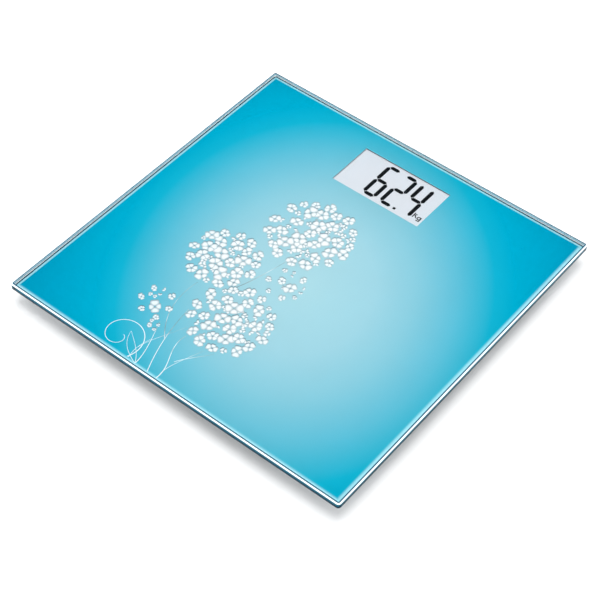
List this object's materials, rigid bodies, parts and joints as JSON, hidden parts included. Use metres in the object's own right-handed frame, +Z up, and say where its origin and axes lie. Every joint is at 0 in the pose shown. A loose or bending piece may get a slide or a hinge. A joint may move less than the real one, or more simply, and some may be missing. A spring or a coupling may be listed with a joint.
{
  "type": "digital bathroom scale",
  "caption": "Square glass bathroom scale with a blue floral print, a digital display window, load-cell feet, a coin-cell lid and a unit button.",
  "frame": {"origin": "on the floor under the middle of the glass plate, in the plane of the rubber pads' undersides", "axes": "+Z up, +X towards the right of a person who reads the display, +Y towards the display's edge, -Y towards that person"},
  "size_m": [0.3, 0.3, 0.019],
  "materials": {
    "platform_glass": "polished",
    "panel_print": "gloss",
    "lcd_glass": "polished",
    "lcd_film": "satin",
    "lcd_ink": "matt",
    "holder_plastic": "matt",
    "case_plastic": "fine texture",
    "foam_tape": "matt",
    "strip_rubber": "matt",
    "board_laminate": "satin",
    "chip_resin": "gloss",
    "parts_metal": "satin",
    "screw_steel": "plated",
    "switch_plastic": "matt",
    "button_plastic": "matt",
    "coin_steel": "brushed",
    "contact_metal": "plated",
    "cup_plastic": "fine texture",
    "cell_steel": "rolled",
    "gauge_silicone": "satin",
    "foot_plastic": "fine texture",
    "pad_rubber": "matt",
    "wire_sheath": "satin",
    "clip_plastic": "matt"
  },
  "bodies": {
    "platform": {"glass_platform": "platform_glass", "printed_panel": "panel_print", "lcd_front_glass": "lcd_glass", "lcd_back_glass": "lcd_glass", "lcd_reflector": "lcd_film", "lcd_digits": "lcd_ink", "lcd_holder": "holder_plastic", "window_gasket": "foam_tape", "contact_strip": "strip_rubber", "circuit_board": "board_laminate", "chip_blob": "chip_resin", "board_parts": "parts_metal", "board_screws": "screw_steel", "switch_body": "switch_plastic", "case_shell": "case_plastic", "case_tape": "foam_tape", "case_cover": "case_plastic", "cover_screws": "screw_steel", "coin_cell": "coin_steel", "contact_plus": "contact_metal", "contact_minus": "contact_metal", "cell_cup_fl": "cup_plastic", "cup_tape_fl": "foam_tape", "load_cell_fl": "cell_steel", "gauge_coat_fl": "gauge_silicone", "wires_fl": "wire_sheath", "wire_clips_fl": "clip_plastic", "cell_cup_fr": "cup_plastic", "cup_tape_fr": "foam_tape", "load_cell_fr": "cell_steel", "gauge_coat_fr": "gauge_silicone", "wires_fr": "wire_sheath", "wire_clips_fr": "clip_plastic", "cell_cup_rl": "cup_plastic", "cup_tape_rl": "foam_tape", "load_cell_rl": "cell_steel", "gauge_coat_rl": "gauge_silicone", "wires_rl": "wire_sheath", "wire_clips_rl": "clip_plastic", "cell_cup_rr": "cup_plastic", "cup_tape_rr": "foam_tape", "load_cell_rr": "cell_steel", "gauge_coat_rr": "gauge_silicone", "wires_rr": "wire_sheath", "wire_clips_rr": "clip_plastic"},
    "foot_fl": {"foot_plate_fl": "foot_plastic", "foot_pad_fl": "pad_rubber"},
    "foot_fr": {"foot_plate_fr": "foot_plastic", "foot_pad_fr": "pad_rubber"},
    "foot_rl": {"foot_plate_rl": "foot_plastic", "foot_pad_rl": "pad_rubber"},
    "foot_rr": {"foot_plate_rr": "foot_plastic", "foot_pad_rr": "pad_rubber"},
    "battery_door": {"battery_lid": "case_plastic"},
    "unit_key": {"unit_button": "button_plastic", "switch_plunger": "switch_plastic"}
  },
  "joints": [
    {"name": "foot_fl_flex", "type": "hinge", "parent": "platform", "child": "foot_fl", "pos_m": [-0.114, -0.107, 0.00755], "axis": [-1, 0, 0], "range_deg": [0, 1.1], "stiffness_Nm_per_rad": 180, "deforming": ["load_cell_fl"]},
    {"name": "foot_fr_flex", "type": "hinge", "parent": "platform", "child": "foot_fr", "pos_m": [0.114, -0.107, 0.00755], "axis": [-1, 0, 0], "range_deg": [0, 1.1], "stiffness_Nm_per_rad": 180, "deforming": ["load_cell_fr"]},
    {"name": "foot_rl_flex", "type": "hinge", "parent": "platform", "child": "foot_rl", "pos_m": [-0.114, 0.107, 0.00755], "axis": [1, 0, 0], "range_deg": [0, 1.1], "stiffness_Nm_per_rad": 180, "deforming": ["load_cell_rl"]},
    {"name": "foot_rr_flex", "type": "hinge", "parent": "platform", "child": "foot_rr", "pos_m": [0.114, 0.107, 0.00755], "axis": [1, 0, 0], "range_deg": [0, 1.1], "stiffness_Nm_per_rad": 180, "deforming": ["load_cell_rr"]},
    {"name": "battery_lid_hinge", "type": "hinge", "parent": "platform", "child": "battery_door", "pos_m": [-0.039, 0.1107, 0.0038], "axis": [1, 0, 0], "range_deg": [0, 85]},
    {"name": "unit_button_press", "type": "slide", "parent": "platform", "child": "unit_key", "axis": [0, 0, 1], "range_m": [0, 0.0004], "stiffness_N_per_m": 3000, "springref_m": -0.0003}
  ]
}
